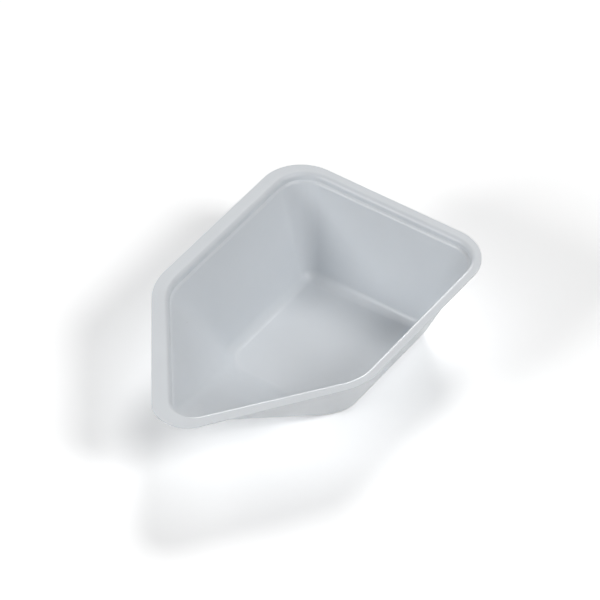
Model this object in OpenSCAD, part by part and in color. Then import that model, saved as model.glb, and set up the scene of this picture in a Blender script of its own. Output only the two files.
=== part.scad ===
// Weighing boat with a pour tip, vacuum-formed from one flat sheet of polystyrene.
//
// The rim is a five-sided outline: a square back, two long sides and a pointed pour tip. Inside
// the flat flange the sheet drops over a small step, and then down flat walls to a flat floor. A
// ramp climbs from the front of the floor to the tip, so that powder slides out in a narrow
// stream. The corners between the walls are cones, wide at the rim and tight at the floor.
//
// Frame: +X points to the pour tip, +Y across, +Z up. The origin is under the middle of the
// overall length and width, on the surface that the floor stands on. Millimetres and degrees.

/* [Boat] */
// Overall length, from the pour tip to the back edge
boat_len = 89; // [80:1:110]
// Width across the sharp corners of the shoulders
boat_w = 57; // [52:1:70]
// Overall height, from the floor's underside to the top of the rim
boat_h = 24; // [16:1:32]
// Width across the sharp corners of the back
back_w = 56.2; // [50:0.2:57]
// Thickness of the formed sheet
sheet = 0.4; // [0.2:0.05:0.5]

/* [Cut edge of the flange] */
// Angle between the two cut edges that meet at the pour tip
tip_angle = 70; // [64:1:84]
// Corner radius of the cut edge at the pour tip
tip_r = 7.6; // [6:0.2:10]
// Corner radius of the cut edge at the two shoulders
shoulder_r = 15.5; // [8:0.5:20]
// Corner radius of the cut edge at the two back corners
back_r = 10.4; // [7:0.2:14]

/* [Step inside the flange] */
// Width of the flat flange along the back and the sides
flange_w = 2; // [1:0.1:3]
// Angle by which the flange widens along each cut edge, from the shoulder towards the tip
flange_spread = 1; // [0:0.5:4]
// Radius of the crest, where the flange rolls over into the step
crest_r = 0.9; // [0.6:0.1:1.5]
// Slope of the step below the crest
step_slope = 55; // [40:1:75]
// Length of the step's straight part, down its slope
step_run = 0.9; // [0.2:0.1:1.5]
// Radius of the hollow at the foot of the step
hollow_r = 0.7; // [0.3:0.1:1.2]
// Slope of the narrow ledge between the step and the wall
ledge_slope = 20; // [10:1:24]
// Radius of the bend from the ledge into the wall
ledge_r = 0.6; // [0.6:0.1:1.2]

/* [Tub] */
// Length of the floor, from its back crease to the bend where the ramp starts
floor_len = 36.4; // [26:0.2:40]
// Width of the floor between its side creases, where the ramp starts
floor_w = 32.2; // [24:0.2:36]
// Distance in plan from the back edge to the floor's back crease
floor_setback = 9.7; // [8:0.2:16]
// Corner radius of the floor's creases beside the ramp
front_corner_r = 6.5; // [4:0.5:9]
// Corner radius of the floor's creases at the back
back_corner_r = 2.4; // [2.4:0.2:6]
// Width of the hollow between the floor and a wall or the ramp, both out on the floor and up it
foot_w = 2; // [1:0.1:2.1]

/* [Smoothness] */
// Largest turn of one facet round a corner
turn_step = 5; // [3:1:10]
// Number of facets down the crest
crest_folds = 4; // [3:1:8]
// Number of facets down the hollow between a wall and the floor
foot_folds = 6; // [3:1:8]

/* [Hidden] */

// Length of the ledge's straight part
ledge_run = 0.3;
// Numbers of facets down the step's hollow and down the ledge's bend
hollow_folds = 3;
ledge_folds = 4;
// Two points closer than this are one point
same_point = 0.0001;

// Headings, measured from +X, that the rim's edges on the +Y half face
cut_heading = 90 - tip_angle / 2;
crest_heading = cut_heading - flange_spread;
back_heading = 180;

// Sharp corners of the cut edge
tip_x = boat_len / 2 + tip_r * (1 / sin(tip_angle / 2) - 1);
shoulder = [tip_x - boat_w / 2 / tan(tip_angle / 2), boat_w / 2];
back = [-boat_len / 2, back_w / 2];
side_heading = 90 + atan((shoulder.y - back.y) / (shoulder.x - back.x));

// Unit vector along a heading in plan
function heading(a) = [cos(a), sin(a)];

// A sharp corner between edges that face headings a and b, moved in by w from both edges
function move_in(corner, a, b, w) =
    corner - w * (heading(a) + heading(b)) / (1 + heading(a) * heading(b));

// Rounds a sharp corner between edges that face a and b, as [arc centre, arc radius]
function rounded(corner, a, b, r) = [move_in(corner, a, b, r), r];

// Sharp corners of the crest line, where the flat flange ends
crest_shoulder = move_in(shoulder, cut_heading, side_heading, flange_w);
crest_back = move_in(back, side_heading, back_heading, flange_w);
crest_tip = [crest_shoulder.x + crest_shoulder.y * tan(crest_heading), 0];

// Sharp corners of the floor's creases, whose sides run parallel to the rim's sides
floor_back_x = -boat_len / 2 + floor_setback;
floor_front = [floor_back_x + floor_len, floor_w / 2];
floor_back = [floor_back_x, floor_w / 2 + floor_len / tan(side_heading)];

// The three outlines, each as its rounded corners on the +Y half from front to back
CUT = [
    rounded([tip_x, 0], -cut_heading, cut_heading, tip_r),
    rounded(shoulder, cut_heading, side_heading, shoulder_r),
    rounded(back, side_heading, back_heading, back_r)
];
CREST = [
    rounded(crest_tip, -crest_heading, crest_heading, tip_r - flange_w),
    rounded(crest_shoulder, crest_heading, side_heading, shoulder_r - flange_w),
    rounded(crest_back, side_heading, back_heading, back_r - flange_w)
];
FLOOR = [
    rounded(floor_front, 0, side_heading, front_corner_r),
    rounded(floor_front, 0, side_heading, front_corner_r),
    rounded(floor_back, side_heading, back_heading, back_corner_r)
];

// The headings that each corner turns through, on the cut edge and on the crest line. The floor
// has no edge beside the ramp, so its front corner turns through two corners of the rim.
CUT_TURNS = [0, cut_heading, side_heading, back_heading];
CREST_TURNS = [0, crest_heading, side_heading, back_heading];

// A column is a line down the section, as [heading, crest corner, floor corner, cut heading, cut
// corner]. An edge is straight between columns that share a heading but not a corner.
HALF = [
    for (k = [0:2])
        let (
            from = CREST_TURNS[k],
            turn = CREST_TURNS[k + 1] - from,
            cut_turn = CUT_TURNS[k + 1] - CUT_TURNS[k],
            n = ceil(turn / turn_step)
        )
        for (i = [0:n])
            [from + turn * i / n, CREST[k], FLOOR[k], CUT_TURNS[k] + cut_turn * i / n, CUT[k]]
];

function flip(corner) = [[corner[0].x, -corner[0].y], corner[1]];
function mirrored(c) = [-c[0], flip(c[1]), flip(c[2]), -c[3], flip(c[4])];
COLUMNS = concat(HALF, [for (i = [len(HALF) - 1:-1:0]) mirrored(HALF[i])]);
COLS = len(COLUMNS);

// Upper normal and downhill direction, as [inwards, up], where the sheet falls inwards at a slope
function upper_normal(slope) = [sin(slope), cos(slope)];
function downhill(slope) = [cos(slope), -sin(slope)];

// An arc of the section in n facets, as [inset, height, slope] for each point. The side is 1
// where the sheet rolls over the centre, and -1 where it lies in a hollow under the centre.
function bend(centre, r, side, from, to, n) =
    [for (i = [0:n])
        let (slope = from + (to - from) * i / n, p = centre + side * r * upper_normal(slope))
        [p.x, p.y, slope]];

// Centres of the bends below the crest line, with insets measured from that line
crest_c = [0, boat_h - crest_r];
hollow_c = crest_c + (crest_r + hollow_r) * upper_normal(step_slope)
    + step_run * downhill(step_slope);
ledge_c = hollow_c - (hollow_r + ledge_r) * upper_normal(ledge_slope)
    + ledge_run * downhill(ledge_slope);

// The part of the section that is the same all round, from the crest line to the ledge
STEP = concat(
    bend(crest_c, crest_r, 1, 0, step_slope, crest_folds),
    bend(hollow_c, hollow_r, -1, step_slope, ledge_slope, hollow_folds)
);

// How far the arc of a corner reaches along a heading
function reach(corner, angle) = corner[0] * heading(angle) + corner[1];

// Slope of the wall down a column: it touches the ledge's bend and aims at the floor's crease
function wall_slope(column) =
    let (
        across = reach(column[1], column[0]) - ledge_c.x - reach(column[2], column[0]),
        down = ledge_c.y - sheet
    )
    atan2(down, across) + asin(ledge_r / norm([across, down]));

// A point of the section set out from a corner, at a depth below the sheet's upper face. The lean
// moves it sideways in step with its height above the floor.
function set_out(corner, angle, point, depth, lean = 0) =
    let (
        out = corner[1] - point[0] + depth * sin(point[2]),
        p = corner[0] + out * heading(angle) + lean * (point[1] - sheet) * heading(angle + 90)
    )
    [p.x, p.y, point[1] - depth * cos(point[2])];

// The whole section down a column, from the cut edge to the flat floor. The wall's straight lines
// run from a corner of the rim to a corner of the floor, so the hollow under them leans with them.
function section(column, depth) =
    let (
        angle = column[0],
        slope = wall_slope(column),
        foot_r = foot_w / tan(slope / 2),
        foot_c = [foot_w, sheet + foot_r],
        upper = concat(STEP, bend(ledge_c, ledge_r, 1, ledge_slope, slope, ledge_folds)),
        lower = bend(foot_c, foot_r, -1, slope, 0, foot_folds),
        drop = ledge_c.y + ledge_r * cos(slope) - sheet,
        lean = (column[1][0] - column[2][0]) * heading(angle + 90) / drop
    )
    concat(
        [set_out(column[4], column[3], [0, boat_h, 0], depth)],
        [for (p = upper) set_out(column[1], angle, p, depth)],
        [for (p = lower) set_out(column[2], angle, p, depth, lean)]
    );

// Rings of points, from the floor's upper face up to the rim and back down the underside
upper_face = [for (c = COLUMNS) section(c, 0)];
under_face = [for (c = COLUMNS) section(c, sheet)];
ROWS = len(upper_face[0]);
RINGS = concat(
    [for (r = [ROWS - 1:-1:0]) [for (s = upper_face) s[r]]],
    [for (r = [0:ROWS - 1]) [for (s = under_face) s[r]]]
);

// The column that owns a point, where neighbouring columns run together on a ring
function owner(ring, c) =
    let (before = (c + COLS - 1) % COLS)
    norm(RINGS[ring][c] - RINGS[ring][before]) < same_point ? owner(ring, before) : c;

OWNERS = [for (r = [0:len(RINGS) - 1]) [for (c = [0:COLS - 1]) owner(r, c)]];
function index(ring, c) = ring * COLS + OWNERS[ring][c % COLS];
function has_area(f) = f[0] != f[1] && f[1] != f[2] && f[2] != f[0];

SKIN = [
    for (r = [0:len(RINGS) - 2], c = [0:COLS - 1])
        let (a = index(r, c), b = index(r, c + 1), d = index(r + 1, c), e = index(r + 1, c + 1))
        for (f = [[a, b, e], [a, e, d]]) if (has_area(f)) f
];

// A ring's own points as one flat face
function flat_face(ring, order) = [for (c = order) if (OWNERS[ring][c] == c) index(ring, c)];

// The whole boat: one sheet, formed into flange, step, walls, ramp and floor
module weighing_boat() {
    color([0.86, 0.88, 0.9])
        polyhedron(
            points = [for (ring = RINGS) for (p = ring) p],
            faces = concat(
                [flat_face(0, [COLS - 1:-1:0])],
                SKIN,
                [flat_face(len(RINGS) - 1, [0:COLS - 1])]
            ),
            convexity = 4
        );
}

weighing_boat();
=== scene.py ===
"""Looks of a weighing boat: one thin sheet of white polystyrene, vacuum-formed with a pour tip.

Lengths are in millimetres and angles in degrees, until they reach Blender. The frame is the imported
part's own: +X points to the pour tip, +Y to port, +Z up, and the boat stands on Z = 0.
"""

import logging
import math
from dataclasses import dataclass
from enum import Enum
from typing import Callable

import bmesh
import bpy
from mathutils import Matrix, Vector


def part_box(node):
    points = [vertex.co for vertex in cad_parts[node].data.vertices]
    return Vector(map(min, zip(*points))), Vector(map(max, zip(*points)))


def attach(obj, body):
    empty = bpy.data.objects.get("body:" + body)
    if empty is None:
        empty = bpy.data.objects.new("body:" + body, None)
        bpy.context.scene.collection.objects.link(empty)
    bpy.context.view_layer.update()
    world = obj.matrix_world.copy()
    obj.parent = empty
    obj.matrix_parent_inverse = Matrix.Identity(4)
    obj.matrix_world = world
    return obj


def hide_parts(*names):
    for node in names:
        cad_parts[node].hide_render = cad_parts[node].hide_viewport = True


MM = 0.001
NODE = "weighing_boat"

log = logging.getLogger("weighing_boat")
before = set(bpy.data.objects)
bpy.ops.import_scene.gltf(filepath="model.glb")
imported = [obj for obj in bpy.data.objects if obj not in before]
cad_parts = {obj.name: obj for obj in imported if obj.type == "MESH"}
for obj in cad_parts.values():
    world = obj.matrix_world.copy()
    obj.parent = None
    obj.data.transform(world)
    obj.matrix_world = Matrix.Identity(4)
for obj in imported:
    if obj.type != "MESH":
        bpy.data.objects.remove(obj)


class Spot(Enum):
    """The rounded corners on each side of the boat, from front to back."""

    TIP = "pour tip"
    SHOULDER = "shoulder"
    BACK = "back corner"


def heading(angle: float) -> Vector:
    """Returns the unit vector in plan at an angle from +X."""
    return Vector((math.cos(math.radians(angle)), math.sin(math.radians(angle)), 0.0))


def downhill(slope: float) -> Vector:
    """Returns the unit step down a slope, as inset and depth."""
    return Vector((math.cos(math.radians(slope)), math.sin(math.radians(slope))))


def bend_points(radius: float, start: float, end: float, step: float) -> list[Vector]:
    """Returns the chords of a bend in the section.

    Args:
        radius: radius of the bend.
        start: slope where the bend begins.
        end: slope where the bend ends.
        step: largest turn between two chords.

    Returns:
        One move for each chord, as inset and depth.
    """
    count = math.ceil(abs(end - start) / step)
    turn = (end - start) / count
    chord = 2 * radius * math.sin(math.radians(abs(turn) / 2))
    return [chord * downhill(start + turn * (i + 0.5)) for i in range(count)]


@dataclass(frozen=True)
class Corner:
    """A rounded corner of an outline, which turns counter-clockwise in plan.

    The headings are the directions that the outline faces where the arc starts and ends.
    """

    spot: Spot
    centre: Vector
    radius: float
    start: float
    end: float

    @classmethod
    def rounded(
        cls, spot: Spot, sharp: Vector, start: float, end: float, radius: float
    ) -> "Corner":
        """Rounds a sharp corner.

        Args:
            spot: which corner of the boat it is.
            sharp: the point where the two straight edges would meet.
            start: heading that the edge before the corner faces.
            end: heading that the edge after the corner faces.
            radius: radius of the arc.

        Returns:
            The arc that touches both edges.
        """
        before, after = heading(start), heading(end)
        centre = sharp - radius * (before + after) / (1 + before.dot(after))
        return cls(spot, centre, radius, start, end)

    def mirrored(self) -> "Corner":
        """Returns the same corner on the other side of the boat."""
        centre = Vector((self.centre.x, -self.centre.y, 0.0))
        return Corner(self.spot, centre, self.radius, 360 - self.end, 360 - self.start)

    def moved_in(self, inset: float) -> "Corner":
        """Returns the corner of a parallel outline that lies inside this one."""
        return Corner(self.spot, self.centre, self.radius - inset, self.start, self.end)

    def moved(self, move: Vector) -> "Corner":
        """Returns the same arc at another place."""
        return Corner(self.spot, self.centre + move, self.radius, self.start, self.end)

    def part(self, start: float, end: float) -> "Corner":
        """Returns the part of the arc between two headings."""
        return Corner(self.spot, self.centre, self.radius, start, end)

    def point(self, angle: float) -> Vector:
        """Returns the point of the arc that faces a heading."""
        return self.centre + self.radius * heading(angle)

    def holds(self, place: Vector, slack: float = 0.1) -> bool:
        """Tells whether a place lies on this arc in plan, on the arc's own side of the boat."""
        arm = Vector((place.x, place.y, 0.0)) - self.centre
        angle = math.degrees(math.atan2(arm.y, arm.x)) % 360
        turn = math.degrees(slack / self.radius)
        inside = any(
            self.start - turn <= a <= self.end + turn for a in (angle, angle - 360, angle + 360)
        )
        return inside and place.y * self.centre.y > 0 and abs(arm.length - self.radius) < slack


class Bench:
    """Mesh tools that work on the object being modelled, in edit mode."""

    def __init__(self, piece: bpy.types.Object) -> None:
        """Takes hold of a piece that is in edit mode."""
        self.piece = piece

    @classmethod
    def start(cls, name: str, place: Vector) -> "Bench":
        """Starts a piece as one vertex.

        Args:
            name: name of the new object and its mesh.
            place: where the vertex is, in millimetres.
        """
        bpy.ops.object.select_all(action="DESELECT")
        bpy.ops.mesh.primitive_plane_add(size=MM, location=place * MM)
        piece = bpy.context.active_object
        piece.name = piece.data.name = name
        bpy.ops.object.transform_apply(location=True)
        bpy.ops.object.mode_set(mode="EDIT")
        bpy.ops.mesh.select_mode(type="VERT")
        bpy.ops.mesh.merge(type="CENTER")
        return cls(piece)

    def indices(self, test: Callable[[Vector], bool]) -> set[int]:
        """Returns the vertices whose place, in millimetres, passes a test."""
        sheet = bmesh.from_edit_mesh(self.piece.data)
        sheet.verts.index_update()
        return {vertex.index for vertex in sheet.verts if test(vertex.co / MM)}

    def border(self) -> set[int]:
        """Returns the vertices on the open edge of the sheet."""
        sheet = bmesh.from_edit_mesh(self.piece.data)
        sheet.verts.index_update()
        return {vertex.index for vertex in sheet.verts if vertex.is_boundary}

    def select(self, wanted: set[int]) -> None:
        """Selects vertices by their numbers, and the edges and faces between them."""
        sheet = bmesh.from_edit_mesh(self.piece.data)
        for vertex in sheet.verts:
            vertex.select = vertex.index in wanted
        sheet.select_flush(True)
        sheet.select_flush(False)
        bmesh.update_edit_mesh(self.piece.data)

    def select_level(self, height: float, slack: float = 0.001) -> None:
        """Selects all that lies at a height, in millimetres."""
        self.select(self.indices(lambda place: abs(place.z - height) < slack))

    def select_middle(self) -> None:
        """Selects the face that still closes the boat, which has the most corners."""
        bpy.ops.mesh.select_all(action="DESELECT")
        sheet = bmesh.from_edit_mesh(self.piece.data)
        max(sheet.faces, key=lambda face: len(face.verts)).select_set(True)
        bmesh.update_edit_mesh(self.piece.data)

    def select_sharp(self, angle: float, lowest: float) -> None:
        """Selects the edges that are sharper than an angle and lie above a height."""
        bpy.ops.mesh.select_all(action="DESELECT")
        bpy.ops.mesh.select_mode(type="EDGE")
        bpy.ops.mesh.edges_select_sharp(sharpness=math.radians(angle))
        sheet = bmesh.from_edit_mesh(self.piece.data)
        for edge in sheet.edges:
            if min(vertex.co.z for vertex in edge.verts) < lowest * MM:
                edge.select_set(False)
        bmesh.update_edit_mesh(self.piece.data)

    def extrude(self, move: Vector) -> None:
        """Extrudes the selection by a move in millimetres."""
        bpy.ops.mesh.extrude_region_move(TRANSFORM_OT_translate={"value": move * MM})

    def spin(self, corner: Corner, step: float) -> None:
        """Extrudes the selected vertex round a corner, in facets that turn by a step at most."""
        turn = corner.end - corner.start
        bpy.ops.mesh.spin(
            steps=math.ceil(turn / step - 0.001),
            angle=-math.radians(turn),
            center=corner.centre * MM,
            axis=(0.0, 0.0, 1.0),
        )

    def inset(self, inwards: float, down: float) -> None:
        """Insets the selected face, and lowers its inner part."""
        bpy.ops.mesh.inset(thickness=inwards * MM, depth=-down * MM, use_even_offset=True)

    def move(self, move: Vector) -> None:
        """Moves the selection by a distance in millimetres."""
        bpy.ops.transform.translate(value=move * MM)

    def scale_and_move(self, ratio: float, centre: Vector, move: Vector) -> None:
        """Scales the selection in plan about a centre, and then moves it."""
        bpy.ops.transform.resize(value=(ratio, ratio, 1.0), center_override=centre * MM)
        self.move(move)

    def bevel(self, width: float, facets: int) -> None:
        """Rounds the selected edges with a bend that reaches a width out on both sides."""
        bpy.ops.mesh.bevel(
            offset=width * MM,
            offset_type="OFFSET",
            segments=facets,
            profile=0.5,
            affect="EDGES",
            clamp_overlap=False,
        )

    def apply(self, kind: str, **settings: object) -> None:
        """Adds a modifier to the piece and applies it.

        Args:
            kind: the modifier's type.
            settings: its properties, by name.
        """
        bpy.ops.object.mode_set(mode="OBJECT")
        modifier = self.piece.modifiers.new(kind.lower(), kind)
        for name, value in settings.items():
            setattr(modifier, name, value)
        bpy.ops.object.modifier_apply(modifier=modifier.name)
        bpy.ops.object.mode_set(mode="EDIT")

    def smooth(self, angle: float) -> bpy.types.Object:
        """Leaves edit mode, shades bends smooth and keeps flat faces flat, and returns the piece."""
        bpy.ops.object.mode_set(mode="OBJECT")
        bpy.ops.object.shade_smooth_by_angle(angle=math.radians(angle))
        modifier = self.piece.modifiers.new("weighted_normal", "WEIGHTED_NORMAL")
        modifier.keep_sharp = True
        bpy.ops.object.modifier_apply(modifier=modifier.name)
        return self.piece


@dataclass
class BoatShell:
    """The formed sheet: flange, step, five walls, ramp and floor.

    The upper face is modelled first, from the cut edge inwards and down, and is thickened last.
    """

    length: float
    height: float
    width: float = 57.0
    back_width: float = 56.2
    sheet: float = 0.4
    tip_angle: float = 70.0
    tip_radius: float = 7.6
    tip_flat: float = 0.3
    shoulder_radius: float = 15.5
    back_radius: float = 10.4
    flange: float = 2.0
    tip_setback: float = 1.14
    trim_offset: tuple[float, float] = (-0.3, 0.7)
    crest_radius: float = 1.2
    step_slope: float = 84.0
    step_run: float = 0.45
    hollow_radius: float = 0.15
    ledge_slope: float = 38.0
    ledge_run: float = 0.6
    ledge_bend: float = 0.35
    floor_length: float = 36.4
    floor_width: float = 32.2
    floor_setback: float = 9.7
    front_radius: float = 6.5
    front_flat: float = 0.4
    back_corner_radius: float = 2.4
    foot: float = 2.0
    edge_round: float = 0.08
    turn_step: float = 3.0
    bend_step: float = 10.0
    bend_facets: int = 5
    foot_facets: int = 8
    edge_facets: int = 3
    edge_sharpness: float = 70.0
    smooth_angle: float = 40.0

    @property
    def slant(self) -> float:
        """Heading that the cut edge faces between the pour tip and the port shoulder."""
        return 90 - self.tip_angle / 2

    @property
    def tip_reach(self) -> float:
        """How far forward the two cut edges beside the pour tip would meet."""
        half_angle = math.radians(self.tip_angle / 2)
        return self.length / 2 + self.tip_radius * (1 / math.sin(half_angle) - 1)

    @property
    def sharp_shoulder(self) -> Vector:
        """Point where the two cut edges at the port shoulder would meet."""
        run = self.width / 2 / math.tan(math.radians(self.tip_angle / 2))
        return Vector((self.tip_reach - run, self.width / 2, 0.0))

    @property
    def sharp_back(self) -> Vector:
        """Point where the two cut edges at the port back corner would meet."""
        return Vector((-self.length / 2, self.back_width / 2, 0.0))

    @property
    def side_heading(self) -> float:
        """Heading that the cut edge faces along the port side."""
        shoulder, back = self.sharp_shoulder, self.sharp_back
        taper = math.atan((shoulder.y - back.y) / (shoulder.x - back.x))
        return 90 + math.degrees(taper)

    def cut_edge(self) -> list[Corner]:
        """Returns the rounded corners of the cut edge, from the tip round to the tip."""
        slant, side = self.slant, self.side_heading
        sharp_tip = Vector((self.tip_reach, 0.0, 0.0))
        tip = Corner.rounded(Spot.TIP, sharp_tip, -slant, slant, self.tip_radius)
        port = [
            tip.part(0.0, slant).moved(Vector((0.0, self.tip_flat / 2, 0.0))),
            Corner.rounded(Spot.SHOULDER, self.sharp_shoulder, slant, side, self.shoulder_radius),
            Corner.rounded(Spot.BACK, self.sharp_back, side, 180.0, self.back_radius),
        ]
        return port + [corner.mirrored() for corner in reversed(port)]

    def floor_crease(self) -> list[Corner]:
        """Returns the floor's corners, one for each corner of the cut edge, in the same order."""
        back_x = -self.length / 2 + self.floor_setback
        widening = self.floor_length / math.tan(math.radians(self.side_heading))
        sharp_front = Vector((back_x + self.floor_length, self.floor_width / 2, 0.0))
        sharp_back = Vector((back_x, self.floor_width / 2 + widening, 0.0))
        front = Corner.rounded(
            Spot.TIP, sharp_front, 0.0, self.side_heading, self.front_radius
        )
        flat = self.front_flat * heading(self.slant + 90)
        port = [
            front.part(0.0, self.slant).moved(Vector((0.0, -flat.y, 0.0))),
            front.part(self.slant, self.side_heading).moved(Vector((flat.x, 0.0, 0.0))),
            Corner.rounded(
                Spot.BACK, sharp_back, self.side_heading, 180.0, self.back_corner_radius
            ),
        ]
        return port + [corner.mirrored() for corner in reversed(port)]

    def draw_outline(self, bench: Bench, corners: list[Corner]) -> None:
        """Draws the cut edge, straight by extruding and round by spinning, and fills it."""
        for corner, following in zip(corners, corners[1:] + corners[:1]):
            bench.spin(corner, self.turn_step)
            bench.extrude(following.point(following.start) - corner.point(corner.end))
        bpy.ops.mesh.select_all(action="SELECT")
        bpy.ops.mesh.remove_doubles(threshold=0.001 * MM)
        bpy.ops.mesh.edge_face_add()
        if bmesh.from_edit_mesh(bench.piece.data).faces[0].normal.z < 0:
            bpy.ops.mesh.flip_normals()

    def form_flange(self, bench: Bench, corners: list[Corner]) -> list[Corner]:
        """Insets the flange, which is wider at the tip.

        Returns:
            The corners of the crest line, where the flange ends.
        """
        bench.inset(self.flange, 0.0)
        setback = Vector((-self.tip_setback, 0.0, 0.0))
        crest = [corner.moved_in(self.flange) for corner in corners]
        at_tip = [corner for corner in crest if corner.spot is Spot.TIP]
        bench.select(bench.indices(lambda place: any(c.holds(place) for c in at_tip)))
        bench.move(setback)
        bench.select_middle()
        return [c.moved(setback) if c.spot is Spot.TIP else c for c in crest]

    def step_moves(self) -> list[Vector]:
        """Returns the step's section from the crest line to the ledge, as inset and depth."""
        crest = bend_points(self.crest_radius, 0.0, self.step_slope, self.bend_step)
        straight = self.step_run * downhill(self.step_slope)
        hollow = bend_points(self.hollow_radius, self.step_slope, self.ledge_slope, self.bend_step)
        ledge = self.ledge_run * downhill(self.ledge_slope)
        return crest + [straight] + hollow + [ledge]

    def form_step(self, bench: Bench, crest: list[Corner]) -> list[Corner]:
        """Insets the step ring by ring, from the crest line down to the ledge's inner edge.

        Returns:
            The corners of the ledge's inner edge.
        """
        for move in self.step_moves():
            bench.inset(move.x, move.y)
        return [corner.moved_in(sum(move.x for move in self.step_moves())) for corner in crest]

    @property
    def ledge_height(self) -> float:
        """Height of the ledge's inner edge."""
        return self.height - sum(move.y for move in self.step_moves())

    def draw_walls(self, bench: Bench, rim: list[Corner]) -> None:
        """Extrudes the walls down to the floor, and takes each corner of the rim to the floor's.

        Args:
            bench: the tools, with the face inside the ledge selected.
            rim: the corners of the ledge's inner edge.
        """
        bench.extrude(Vector((0.0, 0.0, self.sheet - self.ledge_height)))
        groups = [
            bench.indices(lambda place: place.z < self.height / 2 and corner.holds(place))
            for corner in rim
        ]
        for group, upper, lower in zip(groups, rim, self.floor_crease()):
            bench.select(group)
            ratio = lower.radius / upper.radius
            bench.scale_and_move(ratio, upper.centre, lower.centre - upper.centre)

    def shift_step(self, bench: Bench) -> None:
        """Moves the step off centre inside the cut edge, as on a sheet trimmed a little aside."""
        step = bench.indices(lambda place: place.z > self.ledge_height - 0.001)
        bench.select(step - bench.border())
        bench.move(Vector((*self.trim_offset, 0.0)))

    def round_bends(self, bench: Bench) -> None:
        """Rounds the bend from the ledge into the walls, and the hollow between walls and floor."""
        bench.select_level(self.ledge_height)
        bench.bevel(self.ledge_bend, self.bend_facets)
        bench.select_level(self.sheet)
        bench.bevel(self.foot, self.foot_facets)

    def thicken(self, bench: Bench) -> None:
        """Gives the upper face its sheet below it, and takes the sharpness off the cut edge."""
        bench.apply(
            "SOLIDIFY", thickness=self.sheet * MM, offset=-1.0, use_even_offset=True, use_rim=True
        )
        bench.select_sharp(self.edge_sharpness, self.height - 1.5 * self.sheet)
        bench.bevel(self.edge_round, self.edge_facets)

    def build(self) -> bpy.types.Object:
        """Models the boat and returns it as one closed piece."""
        corners = self.cut_edge()
        start = corners[0].point(corners[0].start) + Vector((0.0, 0.0, self.height))
        bench = Bench.start("weighing_boat_sheet", start)
        self.draw_outline(bench, corners)
        crest = self.form_flange(bench, corners)
        rim = self.form_step(bench, crest)
        self.draw_walls(bench, rim)
        self.shift_step(bench)
        self.round_bends(bench)
        self.thicken(bench)
        return bench.smooth(self.smooth_angle)


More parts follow.
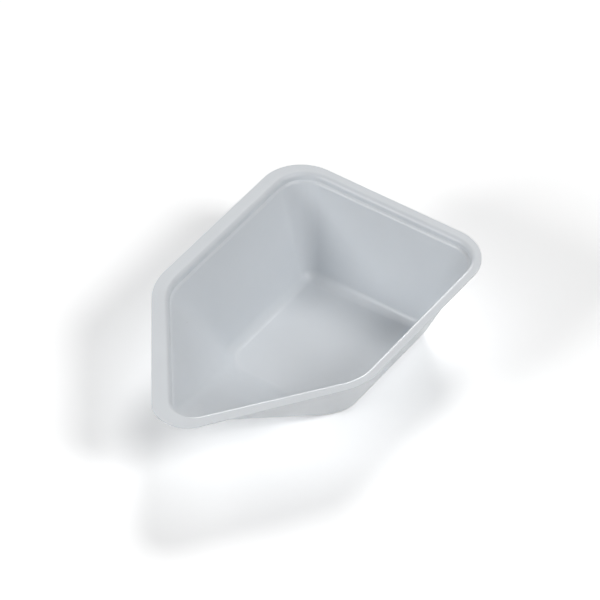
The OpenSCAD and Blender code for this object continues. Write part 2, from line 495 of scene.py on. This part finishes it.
@dataclass(frozen=True)
class Polystyrene:
    """White high-impact polystyrene sheet: satin, slightly translucent, with a very fine grain.

    Feature sizes are in millimetres.
    """

    tint: tuple[float, float, float] = (0.77, 0.80, 0.83)
    mottle: float = 0.015
    mottle_size: float = 14.0
    roughness: tuple[float, float] = (0.34, 0.4)
    gloss_size: float = 5.0
    translucency: float = 0.12
    grain_size: float = 0.35
    grain_height: float = 0.004
    ripple_size: float = 6.0
    ripple_height: float = 0.01
    speck_spacing: float = 12.0
    speck_size: float = 0.13
    speck_shade: float = 0.7
    noise_middle: tuple[float, float] = (0.3, 0.7)

    def noise(
        self, tree: bpy.types.NodeTree, source: bpy.types.NodeSocket, size: float, detail: float
    ) -> bpy.types.NodeSocket:
        """Adds a noise pattern.

        Args:
            tree: the material's nodes.
            source: coordinates in metres.
            size: size of its features, in millimetres.
            detail: number of finer layers.

        Returns:
            The pattern, from 0 to 1.
        """
        node = tree.nodes.new("ShaderNodeTexNoise")
        node.inputs["Scale"].default_value = 1 / (size * MM)
        node.inputs["Detail"].default_value = detail
        tree.links.new(source, node.inputs["Vector"])
        return node.outputs["Fac"]

    def spread(
        self, tree: bpy.types.NodeTree, source: bpy.types.NodeSocket, low: float, high: float
    ) -> bpy.types.NodeSocket:
        """Stretches the middle of a noise pattern over a range, and returns the result."""
        node = tree.nodes.new("ShaderNodeMapRange")
        node.inputs["From Min"].default_value = self.noise_middle[0]
        node.inputs["From Max"].default_value = self.noise_middle[1]
        node.inputs["To Min"].default_value = low
        node.inputs["To Max"].default_value = high
        tree.links.new(source, node.inputs["Value"])
        return node.outputs["Result"]

    def specks(
        self, tree: bpy.types.NodeTree, source: bpy.types.NodeSocket
    ) -> bpy.types.NodeSocket:
        """Adds a few pinhead specks in the sheet, and returns 1 inside a speck and 0 elsewhere."""
        cells = tree.nodes.new("ShaderNodeTexVoronoi")
        cells.inputs["Scale"].default_value = 1 / (self.speck_spacing * MM)
        tree.links.new(source, cells.inputs["Vector"])
        inside = tree.nodes.new("ShaderNodeMath")
        inside.operation = "LESS_THAN"
        inside.inputs[1].default_value = self.speck_size / self.speck_spacing
        tree.links.new(cells.outputs["Distance"], inside.inputs[0])
        return inside.outputs["Value"]

    def bump(
        self,
        tree: bpy.types.NodeTree,
        height: bpy.types.NodeSocket,
        depth: float,
        under: bpy.types.NodeSocket | None,
    ) -> bpy.types.NodeSocket:
        """Adds relief.

        Args:
            tree: the material's nodes.
            height: the pattern, from 0 to 1.
            depth: height of the relief, in millimetres.
            under: the normal of the coarser relief below it.

        Returns:
            The new normal.
        """
        node = tree.nodes.new("ShaderNodeBump")
        node.inputs["Strength"].default_value = 1.0
        node.inputs["Distance"].default_value = depth * MM
        tree.links.new(height, node.inputs["Height"])
        if under is not None:
            tree.links.new(under, node.inputs["Normal"])
        return node.outputs["Normal"]

    def material(self, name: str) -> bpy.types.Material:
        """Returns the finish as a material."""
        material = bpy.data.materials.new(name)
        material.use_nodes = True
        tree = material.node_tree
        shader = tree.nodes["Principled BSDF"]
        place = tree.nodes.new("ShaderNodeTexCoord").outputs["Object"]

        colour = tree.nodes.new("ShaderNodeMix")
        colour.data_type = "RGBA"
        colour.inputs["A"].default_value = (*(c * (1 - self.mottle) for c in self.tint), 1.0)
        colour.inputs["B"].default_value = (*(c * (1 + self.mottle) for c in self.tint), 1.0)
        clouds = self.noise(tree, place, self.mottle_size, 3.0)
        tree.links.new(self.spread(tree, clouds, 0.0, 1.0), colour.inputs["Factor"])
        speckled = tree.nodes.new("ShaderNodeMix")
        speckled.data_type = "RGBA"
        speckled.inputs["B"].default_value = (*(c * self.speck_shade for c in self.tint), 1.0)
        tree.links.new(self.specks(tree, place), speckled.inputs["Factor"])
        tree.links.new(colour.outputs["Result"], speckled.inputs["A"])
        tree.links.new(speckled.outputs["Result"], shader.inputs["Base Color"])

        gloss = self.spread(tree, self.noise(tree, place, self.gloss_size, 4.0), *self.roughness)
        tree.links.new(gloss, shader.inputs["Roughness"])
        ripple = self.noise(tree, place, self.ripple_size, 1.0)
        coarse = self.bump(tree, ripple, self.ripple_height, None)
        grain = self.noise(tree, place, self.grain_size, 2.0)
        fine = self.bump(tree, grain, self.grain_height, coarse)
        tree.links.new(fine, shader.inputs["Normal"])

        shader.inputs["Subsurface Weight"].default_value = 1.0
        shader.inputs["Subsurface Radius"].default_value = (1.0, 1.0, 1.0)
        shader.inputs["Subsurface Scale"].default_value = self.translucency * MM
        return material


@dataclass(frozen=True)
class SoftLamp:
    """A broad, soft lamp far from the boat.

    The strength is the brightness of a white matt surface that faces the lamp squarely.
    """

    name: str
    azimuth: float
    elevation: float
    strength: float
    spread: float = 20.0

    def place(self) -> None:
        """Adds the lamp to the scene."""
        bpy.ops.object.light_add(type="SUN")
        lamp = bpy.context.active_object
        lamp.name = lamp.data.name = self.name
        lamp.data.angle = math.radians(self.spread)
        lamp.data.energy = math.pi * self.strength
        side = math.cos(math.radians(self.elevation)) * heading(self.azimuth)
        towards = side + Vector((0.0, 0.0, math.sin(math.radians(self.elevation))))
        lamp.rotation_euler = towards.to_track_quat("Z", "Y").to_euler()


@dataclass
class Studio:
    """The white table and backdrop, and the lamps round the boat.

    One low lamp behind the boat picks out the crest along its near sides. The others light the
    walls, the ramp and the floor evenly.
    """

    table_size: float = 4000.0
    table_tint: float = 0.9
    table_seen: float = 1.5
    surround: float = 0.02
    lamps: tuple[SoftLamp, ...] = (
        SoftLamp("lamp_rim", 225.0, 5.0, 0.4),
        SoftLamp("lamp_tip", 335.0, 25.0, 0.38),
        SoftLamp("lamp_front", 60.0, 15.0, 0.08),
        SoftLamp("lamp_port", 90.0, 45.0, 0.36),
        SoftLamp("lamp_back", 200.0, 55.0, 0.26),
    )

    def seen(self, tree: bpy.types.NodeTree) -> bpy.types.NodeSocket:
        """Returns 1 for what is seen directly, mirrored or through the boat, and 0 for lighting."""
        path = tree.nodes.new("ShaderNodeLightPath")
        total = path.outputs["Is Camera Ray"]
        for other in ("Is Glossy Ray", "Is Transmission Ray"):
            add = tree.nodes.new("ShaderNodeMath")
            add.use_clamp = True
            tree.links.new(total, add.inputs[0])
            tree.links.new(path.outputs[other], add.inputs[1])
            total = add.outputs["Value"]
        return total

    def build_table(self) -> None:
        """Adds the table that the boat stands on, white where the boat doesn't shade it."""
        bpy.ops.object.select_all(action="DESELECT")
        bpy.ops.mesh.primitive_plane_add(size=self.table_size * MM)
        table = bpy.context.active_object
        table.name = table.data.name = "studio_table"
        material = bpy.data.materials.new("white_table")
        material.use_nodes = True
        tree = material.node_tree
        shader = tree.nodes["Principled BSDF"]
        tint = tree.nodes.new("ShaderNodeMix")
        tint.data_type = "RGBA"
        tint.clamp_result = False
        tint.inputs["A"].default_value = (*(self.table_tint,) * 3, 1.0)
        tint.inputs["B"].default_value = (*(self.table_seen,) * 3, 1.0)
        tree.links.new(self.seen(tree), tint.inputs["Factor"])
        tree.links.new(tint.outputs["Result"], shader.inputs["Base Color"])
        shader.inputs["Roughness"].default_value = 1.0
        shader.inputs["Specular IOR Level"].default_value = 0.0
        table.data.materials.append(material)

    def build_backdrop(self) -> None:
        """Makes the surroundings white to the eye, and nearly dark as a light."""
        world = bpy.data.worlds.new("white_backdrop")
        world.use_nodes = True
        tree = world.node_tree
        background = tree.nodes["Background"]
        background.inputs["Color"].default_value = (1.0, 1.0, 1.0, 1.0)
        strength = tree.nodes.new("ShaderNodeMapRange")
        strength.inputs["To Min"].default_value = self.surround
        strength.inputs["To Max"].default_value = 1.0
        tree.links.new(self.seen(tree), strength.inputs["Value"])
        tree.links.new(strength.outputs["Result"], background.inputs["Strength"])
        bpy.context.scene.world = world

    def build(self) -> None:
        """Sets up the table, the backdrop and the lamps."""
        self.build_table()
        self.build_backdrop()
        for lamp in self.lamps:
            lamp.place()


@dataclass(frozen=True)
class Viewpoint:
    """Where the camera stands: far off, with a long lens, above the pour tip's port side."""

    azimuth: float = 33.0
    elevation: float = 42.3
    roll: float = 1.6
    distance: float = 1780.0
    aim: tuple[float, float, float] = (-16.0, -5.8, 12.0)
    lens: float = 480.0
    sensor: float = 36.0
    sight: float = 10000.0

    def build(self) -> None:
        """Adds the camera and makes it the scene's own."""
        level = math.cos(math.radians(self.elevation)) * heading(self.azimuth)
        back = level + Vector((0.0, 0.0, math.sin(math.radians(self.elevation))))
        turn = back.to_track_quat("Z", "Y").to_matrix()
        turn = turn @ Matrix.Rotation(math.radians(self.roll), 3, "Z")
        place = (Vector(self.aim) + back * self.distance) * MM
        bpy.ops.object.camera_add(location=place, rotation=turn.to_euler())
        camera = bpy.context.active_object
        camera.name = camera.data.name = "camera"
        camera.data.lens = self.lens
        camera.data.sensor_width = self.sensor
        camera.data.clip_end = self.sight * MM
        bpy.context.scene.camera = camera


def main() -> None:
    """Builds the boat, then its studio."""
    logging.basicConfig(level=logging.INFO, format="%(name)s: %(message)s")
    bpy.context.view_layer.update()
    low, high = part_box(NODE)

    shell = BoatShell(length=(high.x - low.x) / MM, height=high.z / MM)
    piece = shell.build()
    piece.data.materials.append(Polystyrene().material("white_polystyrene"))
    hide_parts(NODE)
    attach(piece, "root")
    log.info("%s: %d faces", piece.name, len(piece.data.polygons))

    studio = Studio()
    studio.build()
    log.info("studio: %d lamps", len(studio.lamps))
    Viewpoint().build()
    bpy.context.scene.view_settings.view_transform = "Standard"


if __name__ == "__main__":
    main()
